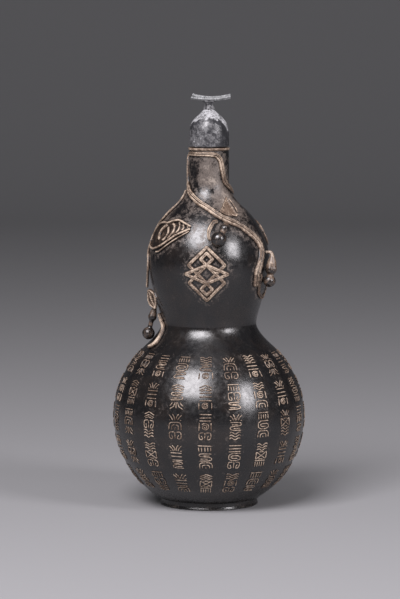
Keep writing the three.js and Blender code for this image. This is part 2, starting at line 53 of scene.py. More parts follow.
# Sizes of the vessel, as in the CAD model
FIT_GAP = 0.3
WALL = 2.6
FOOT_RADIUS = 28
FOOT_HEIGHT = 3.9
FOOT_WALL = 2.6
FOOT_BEAD = 0.5
FOOT_OVERHANG = 1.3
BASE_PLATE_THICKNESS = 1.7
LOWER_RADIUS = 55.3
WAIST_RADIUS = 27.3
WAIST_FILLET = 9
WAIST_RISE = 12.8
UPPER_RADIUS = 34.8
UPPER_RISE = 36
SHOULDER_RADIUS = 20
SHOULDER_RISE = 31.3
SHOULDER_SLOPE = 38
NECK_RADIUS = 11.5
NECK_FILLET = 15.1
NECK_LENGTH = 19.4
NECK_WALL = 2.5
LIP_RADIUS = 11.95
LIP_HEIGHT = 1.7
PLUG_CLEARANCE = 0.4
PLUG_DEPTH = 13
PLUG_WALL = 1.7
PLUG_SOCKET = 6.5
DOME_RADIUS = 11.5
DOME_HEIGHT = 21.7
DOME_SKIRT = 6
DOME_CONE_RADIUS = 9
DOME_CONE_HEIGHT = 6.1
DOME_CROWN = 3.4
STALK_RADIUS = 2.6
STALK_HEIGHT = 4.4
STALK_FLARE = 1.0
RIVET_RADIUS = 1.3
BAR_LENGTH = 22.6
BAR_HEIGHT = 2.6
BAR_DEPTH = 3.6
BAR_SAG = 1.3
BAR_SHIFT = 1.2

SEAT_RADIUS = FOOT_RADIUS + FOOT_OVERHANG
ARC_END_RADIUS = WAIST_RADIUS + WAIST_FILLET
LOWER_LEVEL = FOOT_HEIGHT + FIT_GAP + math.sqrt(LOWER_RADIUS ** 2 - SEAT_RADIUS ** 2)
ARC_END_LEVEL = LOWER_LEVEL + math.sqrt(LOWER_RADIUS ** 2 - ARC_END_RADIUS ** 2)
WAIST_LEVEL = ARC_END_LEVEL + WAIST_RISE
UPPER_LEVEL = WAIST_LEVEL + UPPER_RISE
SHOULDER_LEVEL = UPPER_LEVEL + SHOULDER_RISE
NECK_LEVEL = SHOULDER_LEVEL + NECK_FILLET
MOUTH_LEVEL = NECK_LEVEL + NECK_LENGTH
LIP_BOTTOM = MOUTH_LEVEL - LIP_HEIGHT
LEVELS = [LOWER_LEVEL, WAIST_LEVEL, UPPER_LEVEL, SHOULDER_LEVEL, NECK_LEVEL, LIP_BOTTOM - FIT_GAP]
BORE = NECK_RADIUS - NECK_WALL

rng = random.Random(SEED)


# The outline and places on the skin

def unit(vectors):
    return vectors / np.linalg.norm(vectors, axis=-1, keepdims=True)


def bezier(p0, p1, p2, p3, count):
    t = np.linspace(0, 1, count)[:, None]
    p0, p1, p2, p3 = (np.array(p, float) for p in (p0, p1, p2, p3))
    return (1 - t) ** 3 * p0 + 3 * (1 - t) ** 2 * t * p1 + 3 * (1 - t) * t ** 2 * p2 + t ** 3 * p3


def circle(count):
    """Angles at even steps all round."""
    return np.linspace(0, 2 * math.pi, count, endpoint=False)


def hump(value, middle, spread):
    """A smooth hill, one high at the middle."""
    return np.exp(-((value - middle) / spread) ** 2)


def smooth(values, times):
    """Evens out a run of values in place, but for its ends."""
    for _ in range(times):
        values[1:-1] = 0.25 * values[:-2] + 0.5 * values[1:-1] + 0.25 * values[2:]


def distances(path):
    """How far along a path each of its points lies."""
    return np.concatenate([[0], np.cumsum(np.linalg.norm(np.diff(path, axis=0), axis=1))])


def outline_points():
    """(radius, height) along the outside, from the foot's seat to under the mouth ring."""
    top = math.acos(ARC_END_RADIUS / LOWER_RADIUS)
    turn = np.linspace(-math.acos(SEAT_RADIUS / LOWER_RADIUS), top, 400)
    ball = np.stack([LOWER_RADIUS * np.cos(turn), LOWER_LEVEL + LOWER_RADIUS * np.sin(turn)], 1)
    waist, widest = (WAIST_RADIUS, WAIST_LEVEL), (UPPER_RADIUS, UPPER_LEVEL)
    shoulder, neck_start = (SHOULDER_RADIUS, SHOULDER_LEVEL), (NECK_RADIUS, NECK_LEVEL)
    reach = 0.6 * WAIST_FILLET
    fillet = bezier(ball[-1], (ARC_END_RADIUS - reach, ARC_END_LEVEL + reach / math.tan(top)),
                    (WAIST_RADIUS, WAIST_LEVEL - 0.25 * WAIST_RISE), waist, 120)
    swell = bezier(waist, (WAIST_RADIUS, WAIST_LEVEL + 0.19 * UPPER_RISE),
                   (UPPER_RADIUS, UPPER_LEVEL - 0.43 * UPPER_RISE), widest, 200)
    slope = math.tan(math.radians(SHOULDER_SLOPE))
    run = 0.37 * (UPPER_RADIUS - SHOULDER_RADIUS)
    crown = bezier(widest, (UPPER_RADIUS, UPPER_LEVEL + 0.45 * SHOULDER_RISE),
                   (SHOULDER_RADIUS + run, SHOULDER_LEVEL - slope * run), shoulder, 200)
    narrowing = SHOULDER_RADIUS - NECK_RADIUS
    corner = SHOULDER_LEVEL + slope * narrowing
    neck = bezier(shoulder, (SHOULDER_RADIUS - 0.62 * narrowing,
                             SHOULDER_LEVEL + 0.62 * slope * narrowing),
                  (NECK_RADIUS, corner + 0.4 * (NECK_LEVEL - corner)), neck_start, 120)
    tube = np.array([(NECK_RADIUS, NECK_LEVEL + 0.3), (NECK_RADIUS, LIP_BOTTOM)])
    return np.concatenate([ball, fillet[1:], swell[1:], crown[1:], neck[1:], tube])


OUTLINE = outline_points()
LENGTHS = distances(OUTLINE)
SLOPES = np.gradient(OUTLINE[:, 0], OUTLINE[:, 1])


def radius_at(height):
    return np.interp(height, OUTLINE[:, 1], OUTLINE[:, 0])


def length_at(height):
    return np.interp(height, OUTLINE[:, 1], LENGTHS)


def height_at(length):
    return np.interp(length, LENGTHS, OUTLINE[:, 1])


def on_skin(places):
    """Azimuths in radians and lengths of a list of places by station."""
    azimuth, station = np.asarray(places, float).T
    return np.radians(azimuth), length_at(np.interp(station, range(len(LEVELS)), LEVELS))


BROAD_WAVE, MIDDLING_WAVE, FINE_WAVE = 0.15, 0.06, 0.022


def unevenness(azimuth, length):
    """How far the hand-finished casting strays from a true round."""
    s = length
    broad = np.sin(3 * azimuth + 0.052 * s + 0.6) * np.sin(0.071 * s + azimuth + 1.1)
    middling = np.sin(7 * azimuth - 0.16 * s + 2.0) * np.cos(0.19 * s + 3 * azimuth)
    fine = np.sin(15 * azimuth + 0.33 * s) * np.sin(0.41 * s - 8 * azimuth + 0.4)
    return BROAD_WAVE * broad + MIDDLING_WAVE * middling + FINE_WAVE * fine


def skin(azimuth, length, lift):
    """Points over the vessel's skin."""
    height = height_at(length)
    slope = np.interp(height, OUTLINE[:, 1], SLOPES)
    tilt = np.hypot(1, slope)
    lift = lift + unevenness(azimuth, length)
    radius = radius_at(height) + lift / tilt
    return np.stack([radius * np.sin(azimuth), -radius * np.cos(azimuth),
                     height - lift * slope / tilt], -1)


def spot(azimuth, station, lift):
    """One point over the skin, by degrees and station."""
    turn, length = on_skin([(azimuth, station)])
    return skin(turn, length, lift)[0]


# Meshes

def new_mesh(name, points, faces, material):
    mesh = bpy.data.meshes.new(name)
    mesh.from_pydata(points, [], faces)
    mesh.shade_smooth()
    mesh.materials.append(material)
    return mesh


def link(name, data):
    """An object in the scene for a mesh, a light or a camera."""
    made = bpy.data.objects.new(name, data)
    bpy.context.scene.collection.objects.link(made)
    return made


def make_piece(name, points, faces, body, material, slot, replaced, patina, sharp=()):
    """A smooth piece from points in millimetres. patina is a value for each point, and sharp
    the pairs of points that are the ends of a hard edge."""
    mesh = new_mesh(name, (points * MM).tolist(), faces, material)
    attribute = mesh.attributes.new("patina", "FLOAT", "POINT")
    attribute.data.foreach_set("value", patina.astype(np.float32))
    wanted = {tuple(sorted(pair)) for pair in sharp}
    for edge in mesh.edges if wanted else ():
        edge.use_edge_sharp = tuple(sorted(edge.vertices)) in wanted
    piece = link(name, mesh)
    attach(piece, body)
    if replaced:
        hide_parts(*replaced)


def grid(rows, sides, endless=False, around=True):
    """Faces between neighbouring rows of points. Endless rows meet again at the first, and the
    points of a row may lie around it or from end to end."""
    i = np.arange(rows if endless else rows - 1)[:, None]
    j = np.arange(sides if around else sides - 1)
    a, b, k = i * sides, (i + 1) % rows * sides, (j + 1) % sides
    return np.stack([a + j, b + j, b + k, a + k], -1).reshape(-1, 4).tolist()


class Solid:
    """Gathers closed shapes into one mesh."""

    def __init__(self):
        self.points, self.faces, self.patina, self.count = [], [], [], 0

    def add(self, points, faces, patina):
        self.points.append(points)
        self.faces.extend([[int(i) + self.count for i in face] for face in faces])
        self.patina.append(patina)
        self.count += len(points)

    def add_rings(self, rings, patina, endless=False):
        """rings is an array of rings by sides by 3; patina fits rings by sides."""
        count, sides = rings.shape[:2]
        faces = grid(count, sides, endless)
        if not endless:
            faces.append(range(sides))
            faces.append(reversed(range((count - 1) * sides, count * sides)))
        self.add(rings.reshape(-1, 3), faces, np.broadcast_to(patina, (count, sides)).reshape(-1))

    def make(self, name, body, material, slot, replaced=()):
        make_piece(name, np.concatenate(self.points), self.faces, body, material, slot, replaced,
                   np.concatenate(self.patina))


def resample(path, step):
    """An open line at even steps."""
    path = np.asarray(path, float)
    run = distances(path)
    at = np.linspace(0, run[-1], max(3, int(round(run[-1] / step)) + 1))
    return np.stack([np.interp(at, run, column) for column in path.T], 1)


def spline(points, step):
    """A smooth line through chosen points, at even steps."""
    p = np.asarray(points, float)
    p = np.concatenate([[2 * p[0] - p[1]], p, [2 * p[-1] - p[-2]]])
    t = np.linspace(0, 1, 24, endpoint=False)[:, None]
    runs = []
    for a, b, c, d in zip(p, p[1:], p[2:], p[3:]):
        runs.append(0.5 * (2 * b + (c - a) * t + (2 * a - 5 * b + 4 * c - d) * t ** 2
                           + (3 * b - a - 3 * c + d) * t ** 3))
    return resample(np.concatenate(runs + [p[-2:-1]]), step)


def soften(points, closed=False):
    """A polyline with its corners cut round."""
    p = np.asarray(points, float)
    following = np.roll(p, -1, 0) if closed else p[1:]
    current = p if closed else p[:-1]
    cut = np.stack([0.75 * current + 0.25 * following, 0.25 * current + 0.75 * following], 1)
    cut = cut.reshape(-1, 2)
    return cut if closed else np.concatenate([p[:1], cut[1:-1], p[-1:]])


LINE_STEP = 0.5  # between the points of most lines of ornament


def line_on_skin(places, step=LINE_STEP):
    """A smooth line over the skin through places by station."""
    azimuth, length = on_skin(places)
    scale = radius_at(height_at(length)).mean()
    line = spline(np.stack([azimuth * scale, length], 1), step)
    return line[:, 0] / scale, line[:, 1]


def both_halves(*left):
    """A profile from the points of its left half and its middle."""
    left = np.array(left)
    return np.concatenate([left, left[left[:, 0] < 0][::-1] * (-1, 1)])


def sideways(azimuth, length, endless=False):
    """The steps that lead one millimetre to the right of a line on the skin, as columns of
    azimuths and of lengths, and the sizes of the line's own steps."""
    radius = radius_at(height_at(length))
    if endless:
        step_x = (np.roll(azimuth, -1) - np.roll(azimuth, 1)) * radius
        step_y = np.roll(length, -1) - np.roll(length, 1)
    else:
        step_x, step_y = np.gradient(azimuth) * radius, np.gradient(length)
    size = np.hypot(step_x, step_y)
    return (step_y / size / radius)[:, None], (-step_x / size)[:, None], size


UNDERSIDE = -0.12  # how far the ornament reaches into the skin
HIDDEN_PATINA = 0.4  # on undersides and inside the bulbs
trails = []  # points along the edges of the ornament, about which patina gathers on the bulbs


def leave_trail(azimuths, lengths):
    """Notes both edges of a strip, given as rows of points across it."""
    for side in (0, -1):
        trails.append(skin(azimuths[::2, side], lengths[::2, side], 0))


def sweep(solid, azimuth, length, profile, patina, width=1.0, rise=1.0, ends=0.35, endless=False,
          base=0.0, clear=0.0):
    """A strip along a line on the skin. profile is (offset to the right, lift) for each side,
    and a lift below zero marks the underside. width and rise scale it along the line, ends is
    the share left at the tips, base thickens the strip and clear lifts it off the skin."""
    right, up, size = sideways(azimuth, length, endless)
    grow = np.ones(len(azimuth))
    if not endless:
        run = np.concatenate([[0], np.cumsum(0.5 * (size[1:] + size[:-1]))])
        blunt = 0.5 * np.ptp(profile[:, 0]) * np.mean(width)
        near = np.clip(np.minimum(run, run[-1] - run) / blunt, 0, 1)
        grow = ends + (1 - ends) * np.sqrt(1 - (1 - near) ** 2)
    offset = profile[:, 0] * (width * grow)[:, None]
    lift = profile[:, 1] * (rise * (0.3 + 0.7 * grow))[:, None]
    lift = np.where(profile[:, 1] < 0, UNDERSIDE, lift + base)
    lift = lift + np.broadcast_to(clear, azimuth.shape)[:, None]
    azimuths, lengths = azimuth[:, None] + right * offset, length[:, None] + up * offset
    solid.add_rings(skin(azimuths, lengths, lift), patina, endless)
    leave_trail(azimuths, lengths)


def lathe(name, sections, segments, body, material, slot, replaced, shape=None, patina=None,
          poles=False):
    """A solid of revolution. sections are runs of (radius, height) points that meet at hard
    corners. They close on themselves, or with poles they are closed by points on the axis.
    shape may move the points and patina may colour them."""
    profile, corners = [], []
    for run in sections:
        run = [tuple(p) for p in run]
        if profile and np.allclose(profile[-1], run[0]):
            run = run[1:]
        profile.extend(run)
        corners.append(len(profile) - 1)
    if np.allclose(profile[-1], profile[0]):
        profile.pop()
        corners[-1] = 0
    profile = np.array(profile)
    rows = len(profile)
    azimuth, radius = np.meshgrid(circle(segments), profile[:, 0], indexing="ij")
    height = np.broadcast_to(profile[:, 1], radius.shape)
    points = np.stack([radius * np.sin(azimuth), -radius * np.cos(azimuth), height], -1)
    if shape:
        shape(points, azimuth, radius, height)
    values = patina(azimuth, radius, height) if patina else np.zeros(radius.shape)
    points, values = points.reshape(-1, 3), values.reshape(-1)
    faces = grid(segments, rows, True, not poles)
    ring = (np.arange(segments) * rows).tolist()
    around = list(zip(ring, ring[1:] + ring[:1]))
    if poles:
        low = len(points)
        faces += [(low, j, i) for i, j in around]
        faces += [(low + 1, i + rows - 1, j + rows - 1) for i, j in around]
        points = np.concatenate([points, [(0, 0, profile[0, 1]), (0, 0, profile[-1, 1])]])
        values = np.concatenate([values, values[:1], values[rows - 1:rows]])
    sharp = [(i + corner, j + corner) for corner in set(corners) for i, j in around]
    make_piece(name, points, faces, body, material, slot, replaced, values, () if poles else sharp)


# Materials

def node(tree, kind, inputs=(), **settings):
    """A shader node. Of its inputs sockets are linked, and tuples are colours."""
    made = tree.nodes.new(kind)
    for key, value in settings.items():
        setattr(made, key, value)
    for key, value in dict(inputs).items():
        if isinstance(value, bpy.types.NodeSocket):
            tree.links.new(value, made.inputs[key])
        else:
            made.inputs[key].default_value = (*value, 1) if isinstance(value, tuple) else value
    return made


def plus(tree, total, value, amount=1.0):
    """total + value * amount."""
    return node(tree, "ShaderNodeMath", {0: value, 1: amount, 2: total},
                operation="MULTIPLY_ADD").outputs[0]


def ramp(tree, value, low, high, to_low=0.0, to_high=1.0):
    return node(tree, "ShaderNodeMapRange", {"Value": value, "From Min": low, "From Max": high,
                                             "To Min": to_low, "To Max": to_high},
                interpolation_type="SMOOTHSTEP").outputs[0]


def mix_colour(tree, factor, a, b):
    return node(tree, "ShaderNodeMix", {0: factor, 6: a, 7: b}, data_type="RGBA").outputs[2]


def noise(tree, place, size, detail, roughness, distortion=0.0):
    """Noise whose blobs are about size millimetres across."""
    return node(tree, "ShaderNodeTexNoise", {"Vector": place, "Scale": 1 / (size * MM),
                                             "Detail": detail, "Roughness": roughness,
                                             "Distortion": distortion}).outputs[0]


# The patina values between which bronze turns tan, and pale
TAN_RANGE, PALE_RANGE = (0.16, 0.52), (0.6, 1.05)


def new_material(name):
    material = bpy.data.materials.new(name)
    material.use_nodes = True
    return material, material.node_tree.nodes["Principled BSDF"]


def bronze(name, dark, brown, tan, pale, roughness, specular=0.6, bump=1.0, spread=0.55):
    """Waxed bronze: dark, clouded with brown, and tan or pale by the patina value; spread is how
    far noise moves that value."""
    material, shader = new_material(name)
    tree = material.node_tree
    place = node(tree, "ShaderNodeTexCoord").outputs["Object"]
    cloud = noise(tree, place, 14, 4, 0.6, 0.4)
    mottle = noise(tree, place, 2.6, 5, 0.68, 0.3)
    grain = noise(tree, place, 0.7, 3, 0.6)
    colour = mix_colour(tree, ramp(tree, cloud, 0.4, 0.66), dark, brown)
    value = node(tree, "ShaderNodeAttribute", attribute_name="patina").outputs["Fac"]
    for texture, low, high, down, up in ((mottle, 0.32, 0.68, -0.3 * spread, 0.3 * spread),
                                         (grain, 0.3, 0.7, -0.2 * spread, 0.2 * spread),
                                         (cloud, 0.5, 0.75, 0.0, 0.1)):
        value = plus(tree, value, ramp(tree, texture, low, high, down, up))
    tanned, bleached = ramp(tree, value, *TAN_RANGE), ramp(tree, value, *PALE_RANGE)
    tan_shade = mix_colour(tree, ramp(tree, grain, 0.35, 0.65), tuple(0.6 * c for c in tan), tan)
    colour = mix_colour(tree, tanned, colour, tan_shade)
    colour = mix_colour(tree, bleached, colour, pale)
    rough = ramp(tree, mottle, 0.3, 0.7, roughness - 0.05, roughness + 0.09)
    rough = plus(tree, rough, tanned, 0.2)
    height = plus(tree, plus(tree, plus(tree, 0, mottle, 0.5), grain, 0.22), tanned, 0.12)
    tree.links.new(colour, shader.inputs["Base Color"])
    tree.links.new(rough, shader.inputs["Roughness"])
    shader.inputs["Specular IOR Level"].default_value = specular
    relief = node(tree, "ShaderNodeBump", {"Height": height, "Strength": 0.3 * bump,
                                           "Distance": 0.25 * MM})
    tree.links.new(relief.outputs[0], shader.inputs["Normal"])
    return material


TAN, PALE = (0.17, 0.112, 0.076), (0.57, 0.45, 0.345)
body_bronze = bronze("body_bronze", (0.0042, 0.0037, 0.0044), (0.0105, 0.0075, 0.0066),
                     (0.15, 0.12, 0.102), (0.34, 0.285, 0.24), 0.25, specular=0.8)
relief_bronze = bronze("relief_bronze", (0.008, 0.0052, 0.0042), (0.018, 0.011, 0.0078), TAN, PALE,
                       0.36, bump=1.3, spread=0.7)
gourd_bronze = bronze("gourd_bronze", (0.006, 0.0052, 0.0055), (0.016, 0.012, 0.0105), TAN, PALE,
                      0.26, specular=0.95)
lid_bronze = bronze("lid_bronze", (0.014, 0.014, 0.017), (0.038, 0.038, 0.043),
                    (0.13, 0.128, 0.134), (0.44, 0.44, 0.455), 0.33, specular=0.9, bump=2.0,
                    spread=1.0)
bar_bronze = bronze("bar_bronze", (0.06, 0.064, 0.066), (0.13, 0.135, 0.137),
                    (0.25, 0.257, 0.262), (0.45, 0.46, 0.465), 0.4, bump=1.6, spread=0.9)
inner_bronze = bronze("inner_bronze", (0.03, 0.024, 0.02), (0.07, 0.052, 0.038),
                      (0.12, 0.09, 0.06), (0.2, 0.15, 0.1), 0.5)

# Body, material and slot of the pieces that share them
DARK = ("vessel", body_bronze, "dark_bronze")
RELIEF = ("vessel", relief_bronze, "tan_patina")
LID = ("lid", lid_bronze, "lid_bronze")


# The fret marks of the lower bulb: strokes in millimetres right of and above a mark's middle.
# They are plain ornament and spell nothing. Each mark is a stack of three blocks, and a block is
# drawn between the levels h and -h.

def spiral(size, turns, start):
    t = np.linspace(0, 1, int(12 * turns) + 4)
    angle = start + 2 * math.pi * turns * t
    radius = size * (1 - 0.8 * t)
    return np.stack([1.15 * radius * np.cos(angle), radius * np.sin(angle)], 1).tolist()


def both_sides(*strokes):
    return [list(s) for s in strokes] + [[(-x, y) for x, y in s] for s in strokes]


def level_bars(h):
    return [[(-3.6, y), (3.6, y)] for y in (h, 0, -h)]


def comb(h):
    return [[(-3.6, h), (3.6, h)]] + [[(x, h - 0.9), (x, -h)] for x in (-3.2, -1.6, 0, 1.6, 3.2)]


def square_key(h):
    return [[(-3.6, h), (3.5, h), (3.5, -h), (-3.4, -h), (-3.4, h - 1.4), (2, h - 1.4),
             (2, -h + 1.4), (-1.9, -h + 1.4)]]


def framed_coil(h):
    return both_sides([(3.5, h), (3.6, -h)]) + [spiral(h, 1.9, 0.6)]


def arches(h):
    return both_sides([(0, h), (2.4, h), (3.6, h - 1), (3.6, -h)],
                      [(0, h - 1.5), (1.2, h - 1.5), (2, h - 2.2), (2, -h)]) + [
        [(0, h - 2.8), (0, -h)]]


def waves(h):
    return [[(-3.6, y), (-2.4, y + 0.7), (-1.2, y), (0, y - 0.7), (1.2, y), (2.4, y + 0.7),
             (3.6, y)] for y in (h - 0.3, 0, 0.3 - h)]


def chevrons(h):
    return both_sides([(0, h), (3.7, h - 1.5)], [(0, h - 1.4), (3.7, h - 2.9)],
                      [(0, h - 2.8), (2.9, -h)])


def hooks(h):
    return both_sides([(0.7, h), (3, h), (3.6, h - 0.9), (3.5, 0.9 - h), (2.7, -h), (1.5, -h),
                       (1.3, 0.9 - h), (2.2, 0.2)]) + [[(0, h), (0, -h)]]


def net(h):
    return both_sides([(-3.4, h), (3.4, -h)], [(3.6, h), (3.6, -h)]) + [[(-1.6, h), (1.6, h)],
                                                                         [(-1.6, -h), (1.6, -h)]]


def serpent(h):
    return [[(-3.5, h), (2.6, h), (3.6, h - 0.8), (2.6, 0.5), (-2.6, 0.1), (-3.6, -0.9),
             (-2.6, 0.1 - h), (3.5, -h)], [(-2.6, h - 1.2), (1.4, h - 1.2)],
            [(-1.4, -1.1), (2.8, -1.1)]]


def legs(h):
    return both_sides([(0.6, h), (1.2, 0.3), (1.3, -0.6), (3.7, -h)],
                      [(2.2, h), (2.5, 0.9), (3.8, -0.3)]) + [[(0, h), (0, -h)]]


def flames(h):
    return both_sides([(0.3, -h), (0.6, 0), (2, h)], [(1.5, -h), (2, -0.4), (3.8, h - 0.6)],
                      [(2.8, -h), (3.7, 0.2 - h)])


TOPS = [comb, flames, chevrons, level_bars, waves, net]
MIDDLES = [square_key, framed_coil, hooks, serpent, arches, net, level_bars]
BOTTOMS = [legs, arches, framed_coil, hooks, comb, serpent, waves]
BLOCKS = [(TOPS, 5.3, 1.8), (MIDDLES, 0.2, 2.2), (BOTTOMS, -5.1, 1.95)]
MARK_COLUMNS = 20
MARK_ROWS = [37.2, 18.8, 1.2, -17.3, -36.3]  # degrees above the middle of the lower bulb
MARK_PROFILE = both_halves((-0.43, UNDERSIDE), (-0.35, 0.2), (-0.2, 0.4), (0, 0.46))
MARK_PATINA = np.array([0, 0.12, 0.75, 1, 0.75, 0.12, 0])
MARK_WEAR = (0.72, 1.05)  # the range of how much of that patina a mark has
MARK_STRAY = 0.13


def mark_strokes(earlier):
    """The strokes of a mark with other blocks than the earlier one's."""
    strokes = []
    for i, (choices, middle, half_height) in enumerate(BLOCKS):
        block = rng.choice([b for b in choices if b not in earlier])
        earlier[i] = block
        for stroke in block(half_height):
            strokes.append([(x + rng.uniform(-MARK_STRAY, MARK_STRAY),
                             y + middle + rng.uniform(-MARK_STRAY, MARK_STRAY)) for x, y in stroke])
    return strokes


def build_marks():
    earlier = [None] * len(BLOCKS)
    for row, latitude in enumerate(MARK_ROWS):
        solid = Solid()
        height = LOWER_LEVEL + LOWER_RADIUS * math.sin(math.radians(latitude))
        radius = LOWER_RADIUS * math.cos(math.radians(latitude))
        middle = float(length_at(height))
        narrow = 0.94 if abs(latitude) > 30 else 1.0
        for column in range(MARK_COLUMNS):
            flip = rng.choice((-1, 1)) * narrow * rng.uniform(0.92, 1.06)
            lean = rng.uniform(-0.05, 0.05)
            azimuth = 2 * math.pi * column / MARK_COLUMNS
            patina = MARK_PATINA * rng.uniform(*MARK_WEAR)
            for stroke in mark_strokes(earlier):
                line = resample(soften(stroke), LINE_STEP)
                along = azimuth + (line[:, 0] * flip + line[:, 1] * lean) / radius
                sweep(solid, along, middle + line[:, 1], MARK_PROFILE, patina, ends=0.5)
        solid.make(f"fret_marks_row_{row + 1}", *RELIEF)


# The applied relief of the upper bulb. Routes are (azimuth in degrees, station) points.

# A vine has a double ridge on one side and a broad band on the other, with a deep groove between
RIBBON = np.array([[-0.5, UNDERSIDE], [-0.48, 0.4], [-0.42, 0.8], [-0.34, 0.92], [-0.27, 0.7],
                   [-0.21, 0.68], [-0.14, 0.98], [-0.07, 0.95], [-0.015, 0.3], [0.045, 0.3],
                   [0.1, 0.82], [0.2, 0.92], [0.33, 0.85], [0.42, 0.65], [0.48, 0.3],
                   [0.5, UNDERSIDE]])
RIBBON_PATINA = np.array([0.1, 0.3, 0.75, 0.9, 0.35, 0.3, 0.9, 0.85, 0.0, 0.0, 0.75, 0.85, 0.7, 0.6,
                          0.3, 0.1])
CORD = both_halves((-0.5, UNDERSIDE), (-0.5, 0.4), (-0.4, 0.75), (-0.2, 0.96), (0, 1))
CORD_PATINA = np.array([0.1, 0.4, 0.75, 0.9, 0.95, 0.9, 0.7, 0.4, 0.1])
STROKE = both_halves((-0.5, UNDERSIDE), (-0.46, 0.55), (-0.3, 0.92), (0, 1))
STROKE_PATINA = np.array([0, 0.3, 0.8, 0.9, 0.8, 0.3, 0])

VINE_CROSSING = [
    (-14.5, 3.19), (-4.5, 3.09), (5.1, 2.98), (13, 2.91), (20.1, 2.85), (28.3, 2.79),
    (37.5, 2.73), (45.2, 2.65), (51.8, 2.56), (57.4, 2.48), (61.9, 2.39), (64, 2.28),
    (62.8, 2.18), (59.8, 2.05), (56.5, 1.94), (54.6, 1.86), (54.3, 1.75), (55.2, 1.64)]
VINE_FRONT = [
    (-150, 4.88), (-125, 4.87), (-106, 4.82), (-96, 4.68), (-91, 4.44), (-88, 4.15), (-81, 3.93),
    (-69, 3.79), (-55.8, 3.61), (-41.5, 3.47), (-27.4, 3.33)] + VINE_CROSSING
VINE_LEFT = [
    (-86, 3.64), (-80, 3.44), (-76, 3.17), (-76, 2.95), (-81, 2.8), (-90, 2.68), (-96, 2.52),
    (-95, 2.34), (-88, 2.2), (-81, 2.07), (-79, 1.91), (-81, 1.74), (-84, 1.6)]
TENDRIL_FRONT = [(13.5, 2.79), (8.5, 2.78), (4.5, 2.71), (2, 2.62), (1.7, 2.53), (3.2, 2.45)]
TENDRIL_RIGHT = [
    (62.7, 1.83), (61.7, 1.72), (61.3, 1.61), (64, 1.52), (71, 1.46), (79, 1.44), (86, 1.49),
    (88.5, 1.6)]
WAIST_CORD = [
    (-80, 1.17), (-75.5, 1.08), (-69.3, 1), (-64.7, 0.95), (-63, 0.895), (-61.6, 0.84), (-62, 0.79),
    (-66.5, 0.75)]


def half_turn(places):
    return [(azimuth + 180, station) for azimuth, station in places]


VINE_BACK = [
    (-72, 4.92), (-48, 4.92), (-26, 4.92), (-8.5, 4.92), (7.4, 4.91), (20.9, 4.88), (29.4, 4.81),
    (36, 4.7), (41, 4.49), (44.5, 4.3), (49, 4.1), (59, 3.9), (78.5, 3.73), (92, 3.64),
    (110, 3.54), (130, 3.43), (147, 3.32)] + half_turn(VINE_CROSSING)
LEFT_VINE_RISE = 2.6


def ribbon(name, places, widths, rise, replaced, ends=0.3, profile=RIBBON, patina=RIBBON_PATINA,
           end_rise=0.0):
    """A strip that lies along a route on the skin, with its width at even shares of the way. The
    last quarter of it may rise off the skin."""
    azimuth, length = line_on_skin(places)
    share = np.linspace(0, 1, len(azimuth))
    width = np.interp(share, np.linspace(0, 1, len(widths)), widths)
    wobble = 1 + 0.05 * np.sin(0.31 * np.arange(len(azimuth))) * np.sin(0.13 * length)
    worn = patina + 0.12 * np.sin(0.4 * length + 3 * azimuth)[:, None]
    clear = end_rise * np.maximum(0, 4 * share - 3) ** 2
    solid = Solid()
    sweep(solid, azimuth, length, profile, worn, width * wobble, rise, ends, clear=clear)
    solid.make(name, *RELIEF, [replaced])


def build_vines():
    ribbon("front_vine", VINE_FRONT, (2.4, 5.1), 1.35, "vine_front")
    ribbon("back_vine", VINE_BACK, (2.4, 5.1), 1.35, "vine_back")
    ribbon("left_vine", VINE_LEFT, (2.2, 2.4, 2.2), 1.3, "vine_left", end_rise=LEFT_VINE_RISE)
    ribbon("front_tendril", TENDRIL_FRONT, (2.9, 2.5, 1.6), 0.95, "tendril_front")
    ribbon("back_tendril", half_turn(TENDRIL_FRONT), (2.9, 2.5, 1.6), 0.95, "tendril_back")
    ribbon("right_tendril", TENDRIL_RIGHT, (2.2, 2.5, 2.2), 0.95, "tendril_right",
           patina=0.6 * RIBBON_PATINA)
    ribbon("waist_ribbon", WAIST_CORD, (1.3, 2.2, 2.8, 2.8, 1.6), 2.1, "tendril_left", 0.4, CORD,
           CORD_PATINA)


